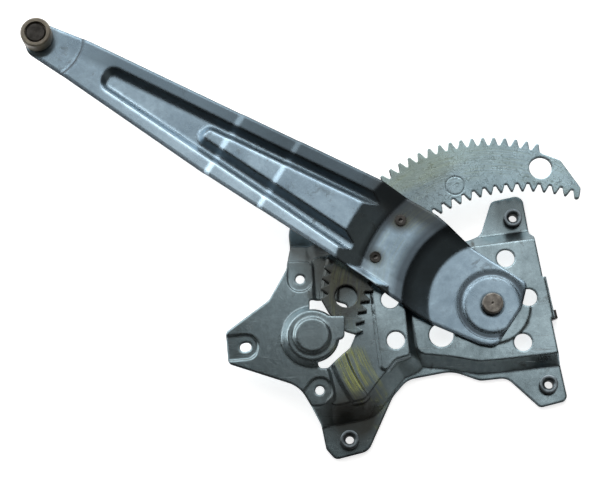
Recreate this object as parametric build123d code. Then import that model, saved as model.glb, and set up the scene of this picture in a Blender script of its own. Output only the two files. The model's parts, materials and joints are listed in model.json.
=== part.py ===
"""Single arm window regulator of a car door: stamped base plate, lift arm with toothed sector,
pivot with counterbalance spring, and a nylon guide roller. Millimetres.
X runs right and Y up in the plane of the plate, +Z points from the door panel into the door.
The origin lies on the pivot axis, in the mounting face of the four ears."""
import math
import os

from build123d import *

os.makedirs("parts", exist_ok=True)

# Sheet, plate and bar thicknesses
plate_t = 1.8
arm_t = 2.3
sector_t = 3.0
washer_t = 0.8

# Working clearances
run_clear = 0.05
slide_clear = 0.3
face_clear = 0.05

# Front levels of the base plate above the mounting face
ear_z = plate_t
plateau_z = 10.0
hub_ring_z = plateau_z + 1.0

# The pivot stack sets the height of the arm and of the sector
hub_under = hub_ring_z + washer_t + face_clear
hub_z = hub_under + arm_t
pad_rise = 7.0
sector_top = hub_under + pad_rise
sector_under = sector_top - sector_t
rail_z = sector_under - slide_clear
recess_z = rail_z - 1.4
strip_z = rail_z - 0.4
motor_z = sector_under + 0.8
tier_z = sector_top + 0.6 + plate_t
dome_z = tier_z + 2.0
pad_z = sector_top + arm_t
channel_depth = 4.6
body_z = dome_z + 0.6 + arm_t + channel_depth
cross_step = 1.2
tip_drop = 0.6
tip_z = body_z - 2 * cross_step - tip_drop

# Pivot
shaft_r = 7.5
bush_r = 9.2
shaft_front = hub_z + 6.4
wall_angle = 45.0

# Sector gear
module = 2.5
teeth_in_circle = 96
pitch_r = module * teeth_in_circle / 2
tip_r = pitch_r + module
root_r = pitch_r - 1.25 * module
flank_r = pitch_r + 0.25 * module
sector_axis = 124.0
outer_teeth = 28
nest = (24.0, -34.3)
lightening_r = 8.15

# Pinion dome of the plate, where the motor shaft ends: an eight tooth pinion meshes there
pinion_teeth = 8
dome_angle = math.radians(190.2)
dome_reach = pitch_r + module * pinion_teeth / 2
dome_c = (dome_reach * math.cos(dome_angle), dome_reach * math.sin(dome_angle))
tier_r = 17.6
cap_r = 11.6
shoulder = 1.4

# Guide roller
roller_c = (-328.6, 199.0)
roller_r = 11.1
roller_h = 12.0
stud_r = 4.0

# Door mounting nuts on the ears
ear_nuts = {
    "weld_nut_top_right": (16.8, 65.6),
    "weld_nut_bottom_right": (39.2, -56.2),
    "weld_nut_bottom": (-101.9, -95.0),
    "weld_nut_upper_left": (-126.0, 67.0),
}
nut_r = 6.5
nut_h = 6.0
thread_r = 3.0
pilot_r = thread_r + 1.2
motor_holes = [(dome_c[0] + x, dome_c[1] + y) for x, y in ((-8.8, 41.9), (5.2, -38.3), (-47.4, -7.1))]
motor_hole_r = 3.2
pad_r = 8.5
pad_sink = 0.9
rivets = {"sector_rivet_upper": (-64.6, 60.4), "sector_rivet_lower": (-82.9, 33.6)}
rivet_r = 2.5
rivet_head_r = 4.0

# Counterbalance spring behind the plate
spring_low = 1.0
spring_w = 5.6
strip_w = 1.5
coil_gap = 0.9
half_turns = 12
inner_r = shaft_r + 1.2
leg_angle = -70.0

deep = 20.0


def corner_outline(points):
    """Closed wire of straight lines between corners (x, y, radius), each rounded by its radius."""
    n = len(points)
    stops = []
    for i in range(n):
        px, py = points[i - 1][:2]
        x, y, r = points[i]
        qx, qy = points[(i + 1) % n][:2]
        a = Vector(px - x, py - y).normalized()
        b = Vector(qx - x, qy - y).normalized()
        if r <= 0:
            stops.append((Vector(x, y), None, Vector(x, y)))
            continue
        half = math.acos(max(-1, min(1, a.dot(b)))) / 2
        leg = r / math.tan(half)
        middle = Vector(x, y) + (a + b).normalized() * (r / math.sin(half) - r)
        stops.append((Vector(x, y) + a * leg, middle, Vector(x, y) + b * leg))
    edges = []
    for i in range(n):
        start, middle, end = stops[i]
        if middle is not None:
            edges.append(ThreePointArc(start, middle, end))
        after = stops[(i + 1) % n][0]
        if (after - end).length > 1e-4:
            edges.append(Line(end, after))
    return Wire(edges)


def corner_face(points):
    face = Face(corner_outline(points))
    return face if face.normal_at().Z > 0 else -face


def hill(points, top, foot=0.0, angle=wall_angle, edge=0.0):
    """A raised area: flat top of the given outline, walls sloping out by angle down to foot."""
    wide = extrude(corner_face(points).moved(Pos(0, 0, top)), amount=top - foot, dir=(0, 0, -1),
                   taper=-angle)
    if edge > 0:
        wide = fillet(wide.faces().sort_by(Axis.Z)[-1].edges(), edge)
    return wide


def pit(points, floor, rim, angle=wall_angle):
    """The tool for a sunk area: flat floor of the given outline, walls sloping out up to rim."""
    return extrude(corner_face(points).moved(Pos(0, 0, floor)), amount=rim - floor, taper=-angle)


def hole(x, y, r, low=-deep, high=60.0):
    return Pos(x, y, (low + high) / 2) * Cylinder(r, high - low)


def cone_hill(x, y, r, top, foot, angle=wall_angle):
    spread = (top - foot) * math.tan(math.radians(angle))
    return Pos(x, y, (top + foot) / 2) * Cone(r + spread, r, top - foot)


def sheet(form, thickness):
    """The pressed sheet between the form and the same form one thickness lower."""
    return form - form.moved(Pos(0, 0, -thickness))


def save(node, shape):
    solids = shape.solids()
    if len(solids) != 1:
        raise ValueError(f"{node}: {len(solids)} solids")
    export_step(solids[0], f"parts/{node}.step")
    return solids[0]


# Base plate: outline of the flat blank, then the levels pressed into it
plate_outline = [
    (-145.5, 55, 3), (-143, 72, 8), (-127, 82, 9), (-112, 74, 12), (-18, 48.5, 8), (-6.5, 54, 8),
    (1.5, 79, 5), (24, 84, 6), (28.5, 54.5, 2.5), (31.5, 51.5, 2), (46, -31.5, 60), (52.8, -67, 4.5),
    (33, -72, 4.5), (10, -50.5, 10), (-9, -52.5, 12), (-28.5, -45.5, 25), (-60.5, -51.5, 16),
    (-71, -63.5, 20), (-88.5, -102.5, 10), (-112, -108.5, 5), (-118.5, -101, 4), (-122, -84, 12),
    (-137, -58.5, 22), (-187.5, -42, 4), (-189.5, -19.5, 4), (-159, 3.5, 8), (-146.5, 26, 10),
    (-144.5, 44, 5),
]
pivot_plateau = [
    (70, 54, 0), (-12.6, 43.5, 12), (-62, 41, 12), (-57, -9, 30), (-53, -34, 7), (-29, -36.3, 30),
    (-9, -39.8, 20), (10, -38, 20), (70, -31, 0),
]
sector_recess = [
    (-60, 44, 8), (-128, 35, 4), (-128, -58, 4), (-113, -72, 5), (-91, -67.5, 6), (-78, -50, 40),
    (-69, -39, 8), (-58.8, -36, 3), (-63, 12, 20), (-62, 24, 6),
]
rub_strip = [(-88, 30, 2), (-64, 30, 2), (-63.4, 12, 20), (-59.2, -36, 2), (-69, -38.6, 6), (-78.5, -51, 3)]
motor_area = [
    (-129.5, 31, 4), (-127.6, 4.5, 20), (-126.5, -30, 20), (-117, -48, 20), (-113, -67, 5),
    (-121, -71, 6), (-215, -76, 0), (-215, 31, 0),
]
motor_pads = [90, 235, 185]
rail_in = pitch_r - 9.4
rail_out = tip_r - 1.5

form = Pos(-70, -10, (ear_z - deep) / 2) * Box(400, 300, ear_z + deep)
form += hill(pivot_plateau, plateau_z)
form += hill(sector_recess, recess_z)
form += hill(motor_area, motor_z)
form += hill(rub_strip, strip_z, recess_z - 1)
form += cone_hill(0, 0, 27, hub_ring_z, plateau_z - 1)
for (x, y), outward in zip(motor_holes, motor_pads):
    pad = [(40, pad_r, 0), (-pad_r, pad_r, pad_r - 0.1), (-pad_r, -pad_r, pad_r - 0.1), (40, -pad_r, 0)]
    form -= Pos(x, y, 0) * Rot(0, 0, outward) * pit(pad, motor_z - pad_sink, motor_z + 1)
tiers = Polyline(
    (0, 0, motor_z - 4), (0, 0, dome_z), (cap_r, 0, dome_z), (cap_r + 2, 0, tier_z),
    (tier_r, 0, tier_z), (tier_r + tier_z - motor_z + 4, 0, motor_z - 4), close=True,
)
tiers = revolve(Face(Wire(tiers.edges())), axis=Axis.Z, revolution_arc=360)
bends = tiers.edges().filter_by(GeomType.CIRCLE).filter_by_position(Axis.Z, tier_z - 1, dome_z + 1)
form += Pos(*dome_c, 0) * fillet(bends, shoulder)
rail = Polyline(
    (rail_in - 1.4, 0, recess_z), (rail_in, 0, rail_z), (rail_out, 0, rail_z),
    (rail_out + 1.4, 0, recess_z), (rail_out, 0, recess_z - 1), (rail_in, 0, recess_z - 1), close=True,
)
rail = Rot(0, 0, 160) * revolve(Face(Wire(rail.edges())), axis=Axis.Z, revolution_arc=70)
form += rail & hill(sector_recess, rail_z)

plate = sheet(form, plate_t)
plate &= extrude(corner_face(plate_outline), amount=60)

for x, y in motor_holes[:2]:
    plate -= hole(x, y, motor_hole_r)
plate -= extrude(Pos(*motor_holes[2]) * Rot(0, 0, 10) * SlotOverall(8.2, 2 * motor_hole_r),
                 amount=60)
for x, y, r in [(10.6, 34.8, 6.35), (26.0, 6.1, 6.35), (21.6, -26.4, 6.35), (-68.8, -25.5, 6.35),
                (-72.6, 4.0, 6.35), (-36.3, -20.9, 8.6)]:
    plate -= hole(x, y, r)
for x, y in ear_nuts.values():
    plate -= hole(x, y, pilot_r + 0.1)
plate -= hole(0, 0, bush_r)

# The teeth pass under the dome through this opening, which is placed from the dome's centre
opening = [
    (-2.0, 26.8, 1.5), (14, 26.8, 3), (24, 24, 3), (31.5, 4, 3), (26.8, -7.4, 4),
    (10.4, -22.6, 4), (3.4, -22.6, 3), (6, -11, 2), (3, 9, 4), (-2, 16, 3),
]
plate -= Pos(*dome_c, 0) * extrude(corner_face(opening), amount=tier_z - plate_t)
tab = [(7, 14, 0), (23.2, 14, 1.5), (22.8, -2, 4), (16, -4, 6), (9, -14, 3), (4, -7, 0)]
plate += Pos(*dome_c, tier_z - plate_t) * extrude(corner_face(tab), amount=plate_t)

# Backward flange on the right edge that anchors the outer end of the spring
anchor_top = (35.9, 21.0)
anchor_low = (41.6, -9.0)
edge_dir = Vector(anchor_low[0] - anchor_top[0], anchor_low[1] - anchor_top[1])
edge_turn = math.degrees(math.atan2(edge_dir.Y, edge_dir.X))
flange = Pos((anchor_top[0] + anchor_low[0]) / 2, (anchor_top[1] + anchor_low[1]) / 2, 0)
flange *= Rot(0, 0, edge_turn)
anchor_reach = 3.5
notch = flange * Pos(edge_dir.length / 2 - 1.5, 0, 0)
anchor = Pos(0, 0, (1.0 + plateau_z) / 2) * Box(edge_dir.length, 2 * anchor_reach, plateau_z - 1.0)
anchor = fillet(anchor.edges().group_by(Axis.Z)[-1].filter_by(Axis.X).sort_by(Axis.Y)[-1:], 2.4)
anchor -= Pos(0, -plate_t, 0) * anchor.moved(Pos(0, 0, -plate_t))
plate += flange * anchor
plate -= notch * Pos(0, anchor_reach, spring_low + spring_w / 2) * Box(6.4, 3 * plate_t, spring_w + 1.2)
save("base_plate", plate)

# Weld nuts, each with a pilot collar in the hole of its ear
for node, (x, y) in ear_nuts.items():
    nut = Pos(x, y, ear_z + nut_h / 2) * Cylinder(nut_r, nut_h)
    nut += Pos(x, y, ear_z / 2 + 0.1) * Cylinder(pilot_r, ear_z - 0.2)
    nut -= hole(x, y, thread_r)
    nut -= Pos(x, y, ear_z + nut_h - 0.75) * Cone(thread_r, thread_r + 1.5, 1.5)
    save(node, nut)

# Lift arm: the levels about the pivot are turned, the channel and the steps are pressed
arm_outline = [
    (-340.5, 190.5, 11), (-330.5, 212.5, 11), (-291, 195.8, 30), (-78.6, 88.2, 12), (-38.5, 64.3, 12),
    (-12.8, 41, 60), (25.5, 15.5, 5), (21, -2, 12), (2, -30.5, 7), (-9, -28.5, 4),
    (-44, -13.2, 15), (-57, -5.5, 20), (-103.1, 26.0, 60), (-208.5, 96.8, 60),
    (-309, 169.0, 60),
]
bead = 0.5
arm_angle = math.degrees(math.atan2(roller_c[1], roller_c[0]))
arm_block = [
    (-380, 230, 0), (-380, 150, 0), (-60, -60, 0), (60, -60, 0), (60, 60, 0), (-250, 250, 0),
]
channel = [(-278.5, 163.8, 3.5), (-274.1, 171.9, 3.5), (-163.6, 114.6, 0), (-60, 62, 0), (-80, 24, 0),
           (-146.1, 71.2, 0)]
ridge = [(-207.5, 122.5, 2.5), (-202.0, 127, 2.5), (-133.2, 92.3, 0), (-60, 55.8, 0), (-75, 31.5, 0)]
rail_end = [(-130, 40, 0), (-90, 12.5, 0), (-55, -12, 0), (-75, -30, 0), (-140, 20, 0)]
hub_cone = (45.0, 65.0)
pad_cone = (97.0, 116.0)
rail_cone = (74.0, 92.0)
steps = [(175.4, 180.2), (221.2, 226.2)]


def levels(stops):
    """Turned solid about the pivot whose top runs through the given (radius, height) stops."""
    corners = [(0, 0, -deep), *[(r, 0, z) for r, z in stops], (430, 0, stops[-1][1]), (430, 0, -deep)]
    return revolve(Face(Wire(Polyline(*corners, close=True).edges())), axis=Axis.Z, revolution_arc=360)


def between(solid, start, end):
    """The stretch of the arm from one distance to another along its length."""
    slab = Rot(0, 0, arm_angle) * Pos((start + end) / 2, 0, 0) * Box(end - start, 500, 200)
    return solid & slab


def joggled(solid, start, end, drop):
    """The arm steps down by drop over a slope from start to end."""
    slope = drop / (end - start)
    turn = math.radians(arm_angle)
    shear = Matrix([
        [1, 0, 0, 0],
        [0, 1, 0, 0],
        [-slope * math.cos(turn), -slope * math.sin(turn), 1, slope * start],
    ])
    near = between(solid, -200, start)
    ramp = between(solid, start, end).transform_geometry(shear)
    far = between(solid, end, 500).moved(Pos(0, 0, -drop))
    return near + ramp + far


hub_stops = [(0, hub_z + bead), (19.8, hub_z + bead), (21, hub_z - bead), (24.8, hub_z - bead),
             (25.4, hub_z), (hub_cone[0], hub_z), (hub_cone[1], pad_z), (pad_cone[0], pad_z)]
form = levels(hub_stops + [(pad_cone[1], body_z)])
form &= extrude(corner_face(arm_block).moved(Pos(0, 0, -deep / 2)), amount=80)
floor_z = body_z - channel_depth
slot = pit(channel, floor_z, body_z + 1)
slot -= hill(ridge, body_z, floor_z - 1)
form -= slot & Pos(-200, 120, 0) * Box(500, 400, 200)
rail_stops = [(0, hub_under), (rail_cone[0] - 6, hub_under), (rail_cone[0], pad_z), (rail_cone[1], body_z)]
form += hill(rail_end, body_z, hub_z) & levels(rail_stops)
tip_coin = Pos(*roller_c, body_z - tip_drop + 2.0) * Cone(33.0, 37.0, 4.0)
form -= tip_coin
arm = sheet(form, arm_t)
arm &= extrude(corner_face(arm_outline), amount=60)
for start, end in reversed(steps):
    arm = joggled(arm, start, end, cross_step)
arm -= hole(0, 0, shaft_r)
arm -= hole(*roller_c, stud_r)
for x, y in rivets.values():
    arm -= hole(x, y, rivet_r)
save("lift_arm", arm)

# Toothed sector: the inner edge is the outer tooth line of the next blank in the strip
pitch = 360.0 / teeth_in_circle
first = sector_axis - (outer_teeth - 1) / 2 * pitch


def at(angle, radius, centre=(0, 0)):
    turn = math.radians(angle)
    return (centre[0] + radius * math.cos(turn), centre[1] + radius * math.sin(turn))


def tooth_line(count, centre):
    """Edges of count teeth, from the gullet before the first to the gullet after the last."""
    edges = []
    for k in range(count):
        mid = first + k * pitch
        low, high = mid - pitch / 2, mid + pitch / 2
        profile = [
            at(low, root_r, centre), at(low + 0.1 * pitch, root_r + 0.25, centre),
            at(mid - 0.2 * pitch, flank_r, centre), at(mid - 0.11 * pitch, tip_r, centre),
            at(mid + 0.11 * pitch, tip_r, centre), at(mid + 0.2 * pitch, flank_r, centre),
            at(high - 0.1 * pitch, root_r + 0.25, centre), at(high, root_r, centre),
        ]
        edges += [Line(a, b) for a, b in zip(profile, profile[1:])]
    return edges


def chain(points):
    """Straight lines through corners (x, y, radius), the first and last of them sharp."""
    edges = []
    last = Vector(*points[0][:2])
    for i in range(1, len(points) - 1):
        x, y, r = points[i]
        here = Vector(x, y)
        a = (Vector(*points[i - 1][:2]) - here).normalized()
        b = (Vector(*points[i + 1][:2]) - here).normalized()
        half = math.acos(max(-1, min(1, a.dot(b)))) / 2
        leg = r / math.tan(half)
        edges.append(Line(last, here + a * leg))
        middle = here + (a + b).normalized() * (r / math.sin(half) - r)
        edges.append(ThreePointArc(here + a * leg, middle, here + b * leg))
        last = here + b * leg
    edges.append(Line(last, Vector(*points[-1][:2])))
    return edges


inner_teeth = outer_teeth - 1
outer = tooth_line(outer_teeth, (0, 0))
inner = tooth_line(inner_teeth, nest)
start = first - pitch / 2
end = first + (outer_teeth - 0.5) * pitch
outer_start = at(start, root_r)
outer_end = at(end, root_r)
inner_start = at(start, root_r, nest)
inner_end = at(end - pitch, root_r, nest)
left_end = chain([
    (*outer_end, 0), (*at(end + 1.6, tip_r - 0.4), 1.5), (*at(end + 6.8, root_r - 0.6), 6),
    (*at(end + 14.1, root_r - 10.5), 4), (inner_end[0] - 5.4, inner_end[1] - 2.3, 2), (*inner_end, 0),
])
right_end = chain([
    (*inner_start, 0), (inner_start[0] + 2.4, inner_start[1] - 0.6, 2),
    (*at(start - 19.2, root_r - 10.5), 4), (*at(start - 7.3, root_r), 4),
    (*at(start - 0.8, root_r - 0.4), 2), (*outer_start, 0),
])
blank = Face(Wire(outer + left_end + inner + right_end))
blank = blank if blank.normal_at().Z > 0 else -blank
sector = extrude(blank.moved(Pos(0, 0, sector_under)), amount=sector_t)
sector -= hole(*at(start - 1.7, root_r - 10.9), lightening_r)
sector -= hole(*at(end + 0.3, root_r - 12.8), lightening_r)
mark = Pos(*at(106.1, root_r - 26.6), sector_top) * (Cylinder(7.2, 0.6) - Cylinder(6.4, 0.6))
sector -= mark
for x, y in rivets.values():
    sector -= hole(x, y, rivet_r)
    sector -= Pos(x, y, sector_under + 0.5) * Cone(rivet_r + 1.0, rivet_r, 1.0)
save("sector_gear", sector)

# Rivets: flush below, staked with a punched pit above
for node, (x, y) in rivets.items():
    low = sector_under
    rivet = Pos(x, y, (low + pad_z) / 2) * Cylinder(rivet_r, pad_z - low)
    rivet += Pos(x, y, low + 0.5) * Cone(rivet_r + 1.0, rivet_r, 1.0)
    rivet += Pos(x, y, pad_z + 0.5) * Cylinder(rivet_head_r, 1.0)
    rivet -= Pos(x, y, pad_z + 1.0) * Cone(0.6, 2.4, 1.2)
    save(node, rivet)

# Pivot: shaft turning with the arm, in a bush pressed into the plate
ring_low = spring_low + spring_w + 0.4
ring_t = 0.9
back_washer_low = ring_low + ring_t + face_clear
flange_t = 0.8
back_of_hub = hub_ring_z - plate_t
shaft_low = spring_low - 0.4
slot_w = 2.2
shaft = Pos(0, 0, (shaft_low + shaft_front) / 2) * Cylinder(shaft_r, shaft_front - shaft_low)
shaft = chamfer(shaft.edges().group_by(Axis.Z)[-1], 0.8)
shaft -= Pos(0, 0, shaft_front) * Cone(0.3, 1.6, 1.6)
shaft -= Pos(0, 0, (shaft_low + ring_low) / 2 - 0.2) * Box(slot_w, 4 * shaft_r, ring_low - shaft_low - 0.4)
groove = Pos(0, 0, ring_low + ring_t / 2) * (Cylinder(shaft_r + 1, ring_t) - Cylinder(6.6, ring_t))
shaft -= groove
save("pivot_shaft", shaft)

ring = Pos(0, 0, ring_low + ring_t / 2) * (Cylinder(10.4, ring_t) - Cylinder(6.6, ring_t))
ring -= Pos(0, -9, ring_low + ring_t / 2) * Box(7, 12, ring_t)
save("retaining_ring", ring)

back_washer_t = back_of_hub - flange_t - face_clear - back_washer_low
back_washer = Cylinder(12.0, back_washer_t) - Cylinder(shaft_r + 0.1, back_washer_t)
save("back_washer", Pos(0, 0, back_washer_low + back_washer_t / 2) * back_washer)

bush = Pos(0, 0, (back_of_hub + hub_ring_z) / 2) * Cylinder(bush_r, plate_t)
bush += Pos(0, 0, back_of_hub - flange_t / 2) * Cylinder(bush_r + 3.0, flange_t)
bush -= hole(0, 0, shaft_r + run_clear)
save("pivot_bush", bush)

front_washer = Cylinder(18.0, washer_t) - Cylinder(shaft_r + 0.1, washer_t)
save("front_washer", Pos(0, 0, hub_ring_z + washer_t / 2) * front_washer)

# Counterbalance spring: half turns about two centres, each wider than the last
grow = (strip_w + coil_gap) / 2
leg_end = (notch * Pos(0, anchor_reach + slide_clear + strip_w, 0)).position


def spiral(offset):
    """Half turns from the bottom, then the arc up to where the leg leaves."""
    edges = []
    radius = inner_r + offset
    here = (0.0, -radius)
    for k in range(half_turns):
        up = k % 2 == 0
        centre_y = 0.0 if up else -grow
        middle = (radius if up else -radius, centre_y)
        there = (0.0, centre_y + radius if up else centre_y - radius)
        edges.append(ThreePointArc(here, middle, there))
        here = there
        radius += grow
    leave = at(leg_angle, radius)
    edges.append(ThreePointArc(here, at((leg_angle - 90) / 2, radius), leave))
    return edges, leave


inside, inside_end = spiral(0.0)
outside, outside_end = spiral(strip_w)
leg = Vector(leg_end.X - inside_end[0], leg_end.Y - inside_end[1])
side = Vector(outside_end[0] - inside_end[0], outside_end[1] - inside_end[1])
inner_tip = Vector(*inside_end) + leg
outer_tip = inner_tip + side
edges = inside + outside + [
    Line((0, -inner_r), (0, -inner_r - strip_w)),
    Line(inside_end, inner_tip), Line(inner_tip, outer_tip), Line(outside_end, outer_tip),
]
coil = Face(Wire(edges))
coil = coil if coil.normal_at().Z > 0 else -coil
spring = extrude(coil.moved(Pos(0, 0, spring_low)), amount=spring_w)
hook = notch * Pos(0, anchor_reach + slide_clear + strip_w / 2, 0)
spring += hook * Pos(-1.4, 0, spring_low + spring_w / 2) * Box(6.0, strip_w, spring_w)
save("balance_spring", spring)

# The bent inner end of the strip sits in the slot of the shaft and turns with it
tang_low = 3.0
tang_length = inner_r - slide_clear - tang_low
tang = Box(strip_w, tang_length, spring_w)
save("spring_tang", Pos(0, -tang_low - tang_length / 2, spring_low + spring_w / 2) * tang)

# Guide roller on its stud at the arm tip
washer_low = tip_z + face_clear
roller_low = washer_low + washer_t + face_clear
sink = 3.0
head_t = 2.0
roller_top = roller_low + roller_h
washer = Cylinder(9.5, washer_t) - Cylinder(stud_r + 0.1, washer_t)
save("roller_washer", Pos(*roller_c, washer_low + washer_t / 2) * washer)

roller = Cylinder(roller_r, roller_h)
roller = chamfer(roller.edges().filter_by(GeomType.CIRCLE), 0.9)
roller -= Cylinder(stud_r + run_clear, roller_h)
roller -= Pos(0, 0, roller_h / 2 - sink / 2) * Cylinder(8.0, sink)
save("guide_roller", Pos(*roller_c, roller_low + roller_h / 2) * roller)

head_low = roller_top - sink + 0.1
stud_foot = tip_z - arm_t
stud = Pos(0, 0, (stud_foot + head_low) / 2) * Cylinder(stud_r, head_low - stud_foot)
head = Pos(0, 0, head_low + head_t / 2) * Cylinder(7.0, head_t)
stud += chamfer(head.edges().group_by(Axis.Z)[-1], 0.6)
stud += Pos(0, 0, stud_foot - 0.6) * Cylinder(6.0, 1.2)
save("roller_stud", Pos(*roller_c, 0) * stud)
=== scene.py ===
"""Looks of the window regulator: procedural plated steel, oiled steel and nylon, a pale floor
and soft studio light. Metres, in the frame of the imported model, pivot axis at the origin."""
import json
import math

import bpy
from mathutils import Matrix, Vector


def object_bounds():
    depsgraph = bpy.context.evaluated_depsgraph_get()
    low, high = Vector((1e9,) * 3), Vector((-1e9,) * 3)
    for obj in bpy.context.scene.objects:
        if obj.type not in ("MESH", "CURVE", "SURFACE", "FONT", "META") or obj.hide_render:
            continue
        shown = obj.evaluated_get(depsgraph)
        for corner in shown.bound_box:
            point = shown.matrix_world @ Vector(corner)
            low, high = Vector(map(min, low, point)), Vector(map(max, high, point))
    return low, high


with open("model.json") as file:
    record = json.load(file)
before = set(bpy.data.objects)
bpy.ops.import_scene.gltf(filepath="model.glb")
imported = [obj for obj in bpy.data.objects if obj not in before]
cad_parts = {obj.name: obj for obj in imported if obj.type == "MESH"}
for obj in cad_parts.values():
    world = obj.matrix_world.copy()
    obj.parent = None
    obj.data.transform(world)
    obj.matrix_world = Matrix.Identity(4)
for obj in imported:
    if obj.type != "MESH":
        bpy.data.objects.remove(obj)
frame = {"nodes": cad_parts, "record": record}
cad_box = [list(corner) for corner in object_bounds()]
nodes = frame["nodes"]
scene = bpy.context.scene

# Edges: how far cut edges are broken, the radius over which light wraps round the bends of each
# kind of piece, and how far the painted shade on edges that face the front (-Y) reaches
cut_edge = 0.00035
cut_edge_angle = math.radians(35)
plate_bend = 0.0023
arm_bend = 0.0036
blank_bend = 0.0012
bare_bend = 0.0005
nylon_bend = 0.0006
edge_shade_width = 0.0022
bevel_samples = 6

# Colours that the plated pieces share
grain_tone = (0.75, 0.80, 0.84, 1)
scratch_tone = (0.72, 0.77, 0.80, 1)
curl_tone = (0.16, 0.22, 0.24, 1)
stain_tone = (0.07, 0.055, 0.035, 1)
# Old grease, and the painted shade that is mixed in the same dark tone
grease_and_shade_tone = (0.06, 0.055, 0.042, 1)
rub_tone = (0.45, 0.49, 0.17, 1)
# Painted shade in the arm's pressed rings and on its dark walls
ring_shade_tone = (0.05, 0.06, 0.07, 1)
# Dark of the cut faces, partly their own dull finish and partly painted shade, and painted shade
# on edges facing the front
cut_edge_and_shade_tone = (0.035, 0.035, 0.035, 1)

# Dark patches (x, y, reach, depth), where a depth of 1 hides the tone below: old grease on the
# arm round the two rivets, and painted shade everywhere else. The painted shade lies on the arm
# as the roller's shadow under it and on the dark wall beside the upper rivet, on the sector at
# its lower end under the arm and beside the arm's upper edge, and on the plate along the arm's
# lower edge and under it, right of the dome, above the bottom ear and by the top right ear
arm_grease_and_shade = [
    (-0.0646, 0.0604, 0.011, 0.9), (-0.0829, 0.0336, 0.009, 0.7), (-0.3286, 0.1990, 0.016, 0.8),
    (-0.0680, 0.0800, 0.028, 0.9), (-0.0460, 0.0690, 0.022, 0.8),
]
sector_painted_shade = [
    (-0.118, 0.004, 0.045, 0.8), (-0.098, 0.022, 0.040, 0.8), (-0.052, 0.088, 0.040, 0.4),
]
plate_painted_shade = [
    (-0.130, 0.050, 0.034, 0.8), (-0.112, 0.020, 0.030, 0.8), (-0.098, -0.078, 0.032, 0.9),
    (-0.060, 0.040, 0.040, 0.8), (-0.108, -0.038, 0.050, 0.34), (0.016, 0.076, 0.024, 0.5),
]

# Rings of painted shade on the arm (x, y, radius, half width): along the pressed circle at the
# tip, the circle about the pivot and the dark walls about the pivot
arm_shade_rings = [
    (-0.3286, 0.1990, 0.0335, 0.0022), (0, 0, 0.0230, 0.0022), (0, 0, 0.0665, 0.0100),
    (0, 0, 0.0960, 0.0060),
]

# Long strips of colour: a direction (x, y) across the strip, the limits along that
# direction, the fade at its sides, its reach in x, colour and amount. The arm's upper rail has
# two of painted shade, for the dark that it mirrors, and its lower rail a painted highlight; the
# sector's upper teeth have a yellowish tint
upper_rail, lower_rail = (0.452, 0.892), (0.5575, 0.830)
arm_painted_light_strips = [
    (upper_rail, (0.0265, 0.0520), 0.006, (-0.330, -0.030), (0.10, 0.14, 0.17, 1), 0.75),
    (upper_rail, (0.0265, 0.0520), 0.006, (-0.210, 0.030), (0.04, 0.05, 0.055, 1), 0.60),
    (lower_rail, (-0.0390, -0.0225), 0.002, (-0.300, -0.060), (0.62, 0.80, 0.93, 1), 0.60),
]
sector_strips = [
    ((-0.4226, 0.9063), (0.0980, 0.1260), 0.006, (-0.120, 0.020), (0.48, 0.56, 0.30, 1), 0.20),
]
strip_end_fade = 0.060

# Scratches run in these directions, and the worn rings fade out over these lengths
scratch_turns = (0.55, -0.95, 1.9)
rub_fade = 0.004
rub_top_fade = 0.006


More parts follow.
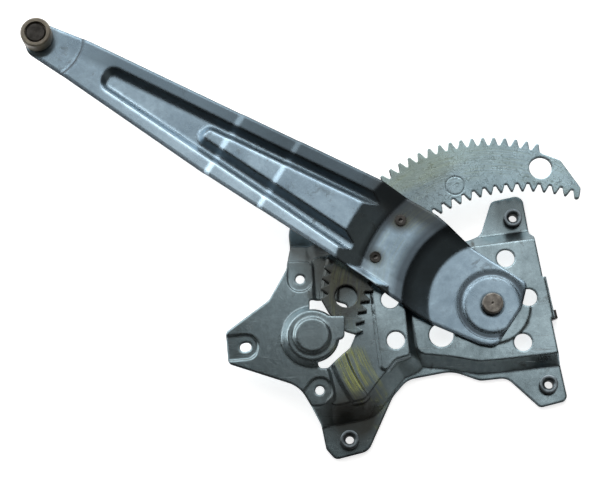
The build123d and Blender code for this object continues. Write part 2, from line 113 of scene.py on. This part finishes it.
class Graph:
    """One material's node tree, with a short call for each kind of node that it uses."""

    def __init__(self, name):
        self.mat = bpy.data.materials.new(name)
        self.mat.use_nodes = True
        self.tree = self.mat.node_tree
        self.bsdf = self.tree.nodes["Principled BSDF"]
        self.coord = self.tree.nodes.new("ShaderNodeTexCoord").outputs["Object"]

    def put(self, socket, v):
        """Link v to the socket, or set it there if v is a plain value."""
        if isinstance(v, bpy.types.NodeSocket):
            self.tree.links.new(v, socket)
        else:
            socket.default_value = v

    def math(self, op, a, b=0.0):
        node = self.tree.nodes.new("ShaderNodeMath")
        node.operation = op
        self.put(node.inputs[0], a)
        self.put(node.inputs[1], b)
        return node.outputs[0]

    def vector_math(self, op, a, b):
        node = self.tree.nodes.new("ShaderNodeVectorMath")
        node.operation = op
        self.put(node.inputs[0], a)
        self.put(node.inputs[1], b)
        return node.outputs

    def split(self, vector):
        """The x, y and z of a vector."""
        node = self.tree.nodes.new("ShaderNodeSeparateXYZ")
        self.put(node.inputs[0], vector)
        return node.outputs

    def mix(self, fac, a, b):
        node = self.tree.nodes.new("ShaderNodeMix")
        node.data_type = "RGBA"
        self.put(node.inputs[0], fac)
        self.put(node.inputs[6], a)
        self.put(node.inputs[7], b)
        return node.outputs[2]

    def span(self, fac, a, b, lo=0.0, hi=1.0):
        """fac from a..b to lo..hi, held at the ends."""
        node = self.tree.nodes.new("ShaderNodeMapRange")
        for socket, v in zip(("From Min", "From Max", "To Min", "To Max"), (a, b, lo, hi)):
            node.inputs[socket].default_value = v
        self.put(node.inputs["Value"], fac)
        return node.outputs["Result"]

    def mapped(self, scale=(1, 1, 1), turn=0.0, vector=None):
        node = self.tree.nodes.new("ShaderNodeMapping")
        node.inputs["Scale"].default_value = scale
        node.inputs["Rotation"].default_value = (0, 0, turn)
        self.put(node.inputs["Vector"], vector or self.coord)
        return node.outputs["Vector"]

    def noise(self, vector, scale, detail, rough, distortion=0.0):
        node = self.tree.nodes.new("ShaderNodeTexNoise")
        node.inputs["Scale"].default_value = scale
        node.inputs["Detail"].default_value = detail
        node.inputs["Roughness"].default_value = rough
        node.inputs["Distortion"].default_value = distortion
        self.put(node.inputs["Vector"], vector)
        return node.outputs["Fac"]

    def rounded(self, radius):
        """Normals that are rounded over bends and edges."""
        node = self.tree.nodes.new("ShaderNodeBevel")
        node.samples = bevel_samples
        node.inputs["Radius"].default_value = radius
        return node.outputs["Normal"]

    def distance(self, x, y):
        """Distance from the upright line through x, y, whatever the height above the plate."""
        flat = self.vector_math("MULTIPLY", self.coord, (1, 1, 0))[0]
        return self.vector_math("DISTANCE", flat, (x, y, 0))["Value"]

    def strip(self, across, limits, fade, reach):
        """1 inside a straight strip that runs at right angles to the direction across."""
        inside = []
        for direction, (low, high), soft in ((across, limits, fade),
                                             ((1, 0), reach, strip_end_fade)):
            place = self.vector_math("DOT_PRODUCT", self.coord, (*direction, 0))["Value"]
            inside.append(self.math("MULTIPLY", self.span(place, low, low + soft),
                                    self.span(place, high, high - soft)))
        return self.math("MULTIPLY", inside[0], inside[1])

    def sheared(self):
        """1 on faces that stand upright, as the cut edges of the sheets do, and 0 elsewhere."""
        normal = self.tree.nodes.new("ShaderNodeNewGeometry").outputs["True Normal"]
        return self.span(self.math("ABSOLUTE", self.split(normal)[2]), 0.45, 0.80, 1.0, 0.0)

    def shaded_front_edges(self):
        """Painted shade: 1 close to edges and bends whose rounded normals lean to the front of
        the part (-Y), away from the lamps.
        """
        rounded = self.rounded(edge_shade_width)
        plain = self.tree.nodes.new("ShaderNodeNewGeometry").outputs["Normal"]
        rounded_y, plain_y = self.split(rounded)[1], self.split(plain)[1]
        return self.span(self.math("SUBTRACT", plain_y, rounded_y), 0.06, 0.16)

    def scratched(self, amount):
        """1 along thin straight scratches, of which a larger amount shows more."""
        lines = [self.noise(self.mapped((24, 1100, 60), turn), scale=1.0, detail=3.0, rough=0.7)
                 for turn in scratch_turns]
        rare = 0.72 - 0.08 * amount
        marks = self.span(lines[0], rare, rare + 0.08)
        for line in lines[1:]:
            marks = self.math("MAXIMUM", marks, self.span(line, rare + 0.02, rare + 0.09))
        return marks

    def rubbed(self, inner, outer, top):
        """1 along rings worn about the pivot, in patches, between two radii and below top in y.
        The noise is read at radius and angle, so that it draws rings."""
        x, y = self.split(self.coord)[:2]
        radius = self.math("SQRT", self.math("ADD", self.math("MULTIPLY", x, x),
                                             self.math("MULTIPLY", y, y)))
        polar = self.tree.nodes.new("ShaderNodeCombineXYZ")
        self.put(polar.inputs[0], radius)
        self.put(polar.inputs[1], self.math("ARCTAN2", y, x))
        band = self.math("MULTIPLY", self.span(radius, inner, inner + rub_fade),
                         self.span(radius, outer, outer - rub_fade))
        band = self.math("MULTIPLY", band, self.span(y, top, top - rub_top_fade))
        rings = self.noise(self.mapped((1000, 2.5, 1), vector=polar.outputs[0]),
                           scale=1.0, detail=3.0, rough=0.65)
        patch = self.noise(self.mapped(), scale=45.0, detail=3.0, rough=0.5)
        rings = self.math("MULTIPLY", self.span(rings, 0.44, 0.58), band)
        return self.math("MULTIPLY", rings, self.span(patch, 0.36, 0.52))

    def curled(self, spots):
        """1 along thin curled lines, as the rims of dried drops, where spots is high."""
        curl = self.noise(self.mapped(), scale=260.0, detail=2.0, rough=0.5, distortion=1.5)
        curl = self.math("ABSOLUTE", self.math("SUBTRACT", curl, 0.5))
        return self.math("MULTIPLY", self.span(curl, 0.01, 0.05, 1.0, 0.0),
                         self.span(spots, 0.38, 0.55))

    def relief(self, height, strength, depth, radius):
        """Bump on top of normals that are rounded over bends and edges."""
        normal = self.rounded(radius)
        bump = self.tree.nodes.new("ShaderNodeBump")
        bump.inputs["Strength"].default_value = strength
        bump.inputs["Distance"].default_value = depth
        self.put(bump.inputs["Height"], height)
        self.put(bump.inputs["Normal"], normal)
        self.put(self.bsdf.inputs["Normal"], bump.outputs["Normal"])


def plated(name, tone, blotch, rough, scratches, stain, rub, worn, fuzz, curls, grease_and_shade, bend,
           shade_rings=(), light_and_tint_strips=()):
    """Zinc plated sheet: cloudy satin tone, grain and relief as strong as fuzz, thin scratches,
    curled marks, brown stain in patches, and rings worn about the pivot within rub (inner radius,
    outer radius, top y). The lists of patches, rings and strips are as above: grease and painted
    shade, rings of painted shade, and strips of painted shade, painted highlight and tint. Cut
    edges are dull, and dark partly of their own and partly from painted shade, and edges facing
    the front (-Y) carry painted shade."""
    g = Graph(name)
    cloud = g.noise(g.mapped(), scale=32.0, detail=6.0, rough=0.62)
    spots = g.noise(g.mapped(), scale=240.0, detail=4.0, rough=0.6)
    grain = g.noise(g.mapped(), scale=1400.0, detail=3.0, rough=0.6)
    dirt = g.noise(g.mapped(), scale=60.0, detail=6.0, rough=0.7, distortion=0.4)
    tint = g.math("ADD", g.math("MULTIPLY", cloud, 0.65), g.math("MULTIPLY", spots, 0.35))
    marks = g.scratched(scratches)
    rings = g.rubbed(*rub)
    sheared = g.sheared()

    base = g.mix(g.span(tint, 0.36, 0.62), blotch, tone)
    base = g.mix(g.span(grain, 0.3, 0.7, 0.0, 0.15 * fuzz), base, grain_tone)
    base = g.mix(g.math("MULTIPLY", marks, 0.5 * scratches), base, scratch_tone)
    base = g.mix(g.math("MULTIPLY", g.curled(spots), curls), base, curl_tone)
    base = g.mix(g.span(dirt, 0.60, 0.74, 0.0, stain), base, stain_tone)
    grease_and_shade_film = 0.0
    # Old grease round the rivets, and painted shade in every other patch
    for x, y, reach, depth in grease_and_shade:
        grease_and_shade_near = g.span(g.distance(x, y), 0.4 * reach, reach, 1.0, 0.0)
        grease_and_shade_near = g.math("MULTIPLY", grease_and_shade_near, g.span(tint, 0.30, 0.55, 0.75, 1.0))
        grease_and_shade_near = g.math("MULTIPLY", grease_and_shade_near, depth)
        grease_and_shade_film = g.math("MAXIMUM", grease_and_shade_near, grease_and_shade_film)
        base = g.mix(grease_and_shade_near, base, grease_and_shade_tone)
    base = g.mix(g.math("MULTIPLY", rings, worn), base, rub_tone)
    # Rings of painted shade along the pressed circles and the dark walls
    for x, y, radius, half in shade_rings:
        off = g.math("ABSOLUTE", g.math("SUBTRACT", g.distance(x, y), radius))
        base = g.mix(g.span(off, 0.25 * half, half, 0.8, 0.0), base, ring_shade_tone)
    # Strips of painted shade and painted highlight on the arm, and a yellowish tint on the sector
    for across, limits, fade, reach, colour, amount in light_and_tint_strips:
        inside = g.strip(across, limits, fade, reach)
        inside = g.math("MULTIPLY", inside, g.span(tint, 0.30, 0.60, 0.75, 1.0))
        base = g.mix(g.math("MULTIPLY", inside, amount), base, colour)
    # Cut faces are dull and dark of their own and carry painted shade too; edges facing the front
    # (-Y) carry painted shade only
    dark = g.math("MAXIMUM", sheared, g.shaded_front_edges())
    base = g.mix(g.math("MULTIPLY", dark, 0.9), base, cut_edge_and_shade_tone)
    g.put(g.bsdf.inputs["Base Color"], base)

    # Grease and the patches of painted shade are less metallic, stains and cut edges are duller,
    # and scratches are glossier
    g.put(g.bsdf.inputs["Metallic"], g.math("SUBTRACT", 1.0, g.math("MULTIPLY", grease_and_shade_film, 0.45)))
    gloss = g.span(cloud, 0.3, 0.7, rough + 0.08, rough - 0.06)
    gloss = g.math("ADD", gloss, g.span(dirt, 0.60, 0.74, 0.0, 0.25 * stain))
    gloss = g.math("SUBTRACT", gloss, g.math("MULTIPLY", marks, 0.12))
    g.put(g.bsdf.inputs["Roughness"], g.math("ADD", gloss, g.math("MULTIPLY", sheared, 0.35)))
    height = g.math("ADD", g.math("MULTIPLY", grain, 0.25), g.math("MULTIPLY", spots, 0.5))
    height = g.math("SUBTRACT", height, g.math("MULTIPLY", marks, 0.5))
    height = g.math("SUBTRACT", height, g.math("MULTIPLY", rings, 0.4))
    g.relief(height, strength=0.30 * fuzz, depth=0.0003, radius=bend)
    return g.mat


def bare(name, tone, dark, rough):
    """Oiled or tarnished metal without plating."""
    g = Graph(name)
    cloud = g.noise(g.mapped(), scale=170.0, detail=5.0, rough=0.6)
    grain = g.noise(g.mapped(), scale=1600.0, detail=2.0, rough=0.5)
    g.put(g.bsdf.inputs["Base Color"], g.mix(g.span(cloud, 0.35, 0.65), dark, tone))
    g.bsdf.inputs["Metallic"].default_value = 0.95
    g.put(g.bsdf.inputs["Roughness"], g.span(cloud, 0.3, 0.7, rough + 0.12, rough - 0.08))
    height = g.math("ADD", cloud, g.math("MULTIPLY", grain, 0.3))
    g.relief(height, strength=0.3, depth=0.0002, radius=bare_bend)
    return g.mat


def nylon(name, tone, dark, soiled):
    """Waxy plastic with grime in patches."""
    g = Graph(name)
    cloud = g.noise(g.mapped(), scale=130.0, detail=5.0, rough=0.6)
    grime = g.span(g.noise(g.mapped(), scale=260.0, detail=4.0, rough=0.6), 0.45, 0.68)
    base = g.mix(g.span(cloud, 0.35, 0.65), dark, tone)
    g.put(g.bsdf.inputs["Base Color"], g.mix(g.math("MULTIPLY", grime, 0.7), base, soiled))
    g.put(g.bsdf.inputs["Roughness"], g.span(cloud, 0.3, 0.7, 0.5, 0.34))
    g.bsdf.inputs["Subsurface Weight"].default_value = 0.12
    g.bsdf.inputs["Subsurface Radius"].default_value = (0.003, 0.002, 0.001)
    g.bsdf.inputs["Subsurface Scale"].default_value = 0.3
    g.relief(cloud, strength=0.25, depth=0.0002, radius=nylon_bend)
    return g.mat


finishes = {
    "plate_zinc": plated(
        "plate_zinc", tone=(0.43, 0.56, 0.61, 1), blotch=(0.22, 0.30, 0.33, 1), rough=0.21,
        scratches=0.9, stain=0.8, rub=(0.095, 0.121, -0.028), worn=1.0, fuzz=0.6, curls=0.25,
        grease_and_shade=plate_painted_shade, bend=plate_bend),
    "arm_zinc": plated(
        "arm_zinc", tone=(0.41, 0.55, 0.65, 1), blotch=(0.28, 0.39, 0.48, 1), rough=0.21,
        scratches=0.3, stain=0.6, rub=(0.070, 0.100, 1.0), worn=0.12, fuzz=0.3, curls=0.1,
        grease_and_shade=arm_grease_and_shade, bend=arm_bend, shade_rings=arm_shade_rings, light_and_tint_strips=arm_painted_light_strips),
    "sector_zinc": plated(
        "sector_zinc", tone=(0.47, 0.65, 0.73, 1), blotch=(0.27, 0.38, 0.42, 1), rough=0.28,
        scratches=1.0, stain=0.35, rub=(0.090, 0.118, 1.0), worn=0.12, fuzz=1.0, curls=0.8,
        grease_and_shade=sector_painted_shade, bend=blank_bend, light_and_tint_strips=sector_strips),
    "nut_zinc": plated(
        "nut_zinc", tone=(0.34, 0.41, 0.45, 1), blotch=(0.15, 0.18, 0.20, 1), rough=0.30,
        scratches=0.4, stain=0.9, rub=(0.004, 0.010, 1.0), worn=0.0, fuzz=0.5, curls=0.1,
        grease_and_shade=[], bend=blank_bend),
    "pin_steel": bare("pin_steel", (0.30, 0.28, 0.25, 1), (0.11, 0.10, 0.09, 1), 0.30),
    "staked_steel": bare("staked_steel", (0.085, 0.08, 0.075, 1), (0.03, 0.028, 0.025, 1), 0.30),
    "spring_steel": bare("spring_steel", (0.10, 0.095, 0.09, 1), (0.035, 0.032, 0.03, 1), 0.40),
    "bush_bronze": bare("bush_bronze", (0.48, 0.36, 0.18, 1), (0.26, 0.19, 0.10, 1), 0.38),
    "nylon": nylon("nylon", tone=(0.29, 0.26, 0.195, 1), dark=(0.14, 0.12, 0.09, 1),
                   soiled=(0.06, 0.05, 0.04, 1)),
}
# Pins that look darker than the pivot shaft, which shares their slot
staked = ("sector_rivet_upper", "sector_rivet_lower", "roller_stud")
for part in frame["record"]["subparts"]:
    obj = nodes[part["node"]]
    obj.data.materials.clear()
    finish = "staked_steel" if part["node"] in staked else part["material_slot"]
    obj.data.materials.append(finishes[finish])
    edge = obj.modifiers.new("edge", "BEVEL")
    edge.width = cut_edge
    edge.segments = 2
    edge.limit_method = "ANGLE"
    edge.angle_limit = cut_edge_angle

# Floor: pale, just below the part, white to the camera, and still holding the shadow
floor_size = 12
floor_gap = 0.0002
floor_glow = 0.75
bpy.ops.mesh.primitive_plane_add(size=floor_size, location=(0, 0, cad_box[0][2] - floor_gap))
floor = bpy.context.object
floor.name = "floor"
g = Graph("floor")
g.bsdf.inputs["Base Color"].default_value = (0.85, 0.85, 0.85, 1)
g.bsdf.inputs["Roughness"].default_value = 0.9
g.bsdf.inputs["Specular IOR Level"].default_value = 0.0
g.bsdf.inputs["Emission Color"].default_value = (1, 1, 1, 1)
path = g.tree.nodes.new("ShaderNodeLightPath")
seen = g.math("MAXIMUM", path.outputs["Is Camera Ray"], path.outputs["Is Glossy Ray"])
seen = g.math("MAXIMUM", seen, path.outputs["Is Transmission Ray"])
g.put(g.bsdf.inputs["Emission Strength"], g.math("MULTIPLY", seen, floor_glow))
floor.data.materials.append(g.mat)


def lamp(name, place, aim, size, radiance, roll=0.0, colour=(1, 1, 1)):
    """A soft box of the given width and height whose face has the given radiance."""
    data = bpy.data.lights.new(name, "AREA")
    data.shape = "RECTANGLE"
    data.size, data.size_y = size
    data.energy = radiance * math.pi * size[0] * size[1]
    data.color = colour
    obj = bpy.data.objects.new(name, data)
    scene.collection.objects.link(obj)
    obj.location = place
    turn = (Vector(aim) - Vector(place)).to_track_quat("-Z", "Y").to_matrix()
    obj.rotation_euler = (turn @ Matrix.Rotation(roll, 3, "Z")).to_euler()
    obj.visible_camera = False


# Lamps: all stand above and beyond the part as the camera sees it, apart from the faint room
# light on the near side
middle = (-0.14, 0.05, 0.0)
lamp("overhead", place=(0.014, 0.917, 1.40), aim=(0.014, 0.917, 0.0), size=(1.5, 1.2),
     radiance=0.80, roll=math.radians(-42))
lamp("far_window", place=(-0.05, 1.55, 0.72), aim=(-0.14, 0.05, 0.10), size=(2.3, 1.3),
     radiance=2.6)
lamp("left_window", place=(-1.45, 0.75, 0.70), aim=middle, size=(1.5, 1.2), radiance=2.2)
lamp("upper_left", place=(-0.95, 1.05, 1.38), aim=(-0.18, 0.11, 0.03), size=(0.60, 0.60),
     radiance=1.6)
lamp("room", place=(0.9, -0.6, 0.6), aim=middle, size=(1.2, 0.8), radiance=0.12,
     colour=(1.0, 0.93, 0.82))

world = bpy.data.worlds.new("world")
scene.world = world
world.use_nodes = True
back = world.node_tree.nodes["Background"]
back.inputs["Color"].default_value = (1.0, 0.94, 0.84, 1)
back.inputs["Strength"].default_value = 0.035

# Camera at the photograph's angle, 14 degrees off straight down
camera = bpy.data.cameras.new("camera")
camera.sensor_fit = "HORIZONTAL"
camera.sensor_width = 36.0
camera.lens = 121.60
camera.clip_start = 0.05
view = bpy.data.objects.new("camera", camera)
scene.collection.objects.link(view)
view.matrix_world = Matrix((
    (0.99957, 0.00652, 0.02855, -0.09523),
    (0.00053, 0.97072, -0.24023, -0.30165),
    (-0.02928, 0.24014, 0.97030, 1.42773),
    (0.00000, 0.00000, 0.00000, 1.00000),
))
scene.camera = view
scene.view_settings.view_transform = "Standard"
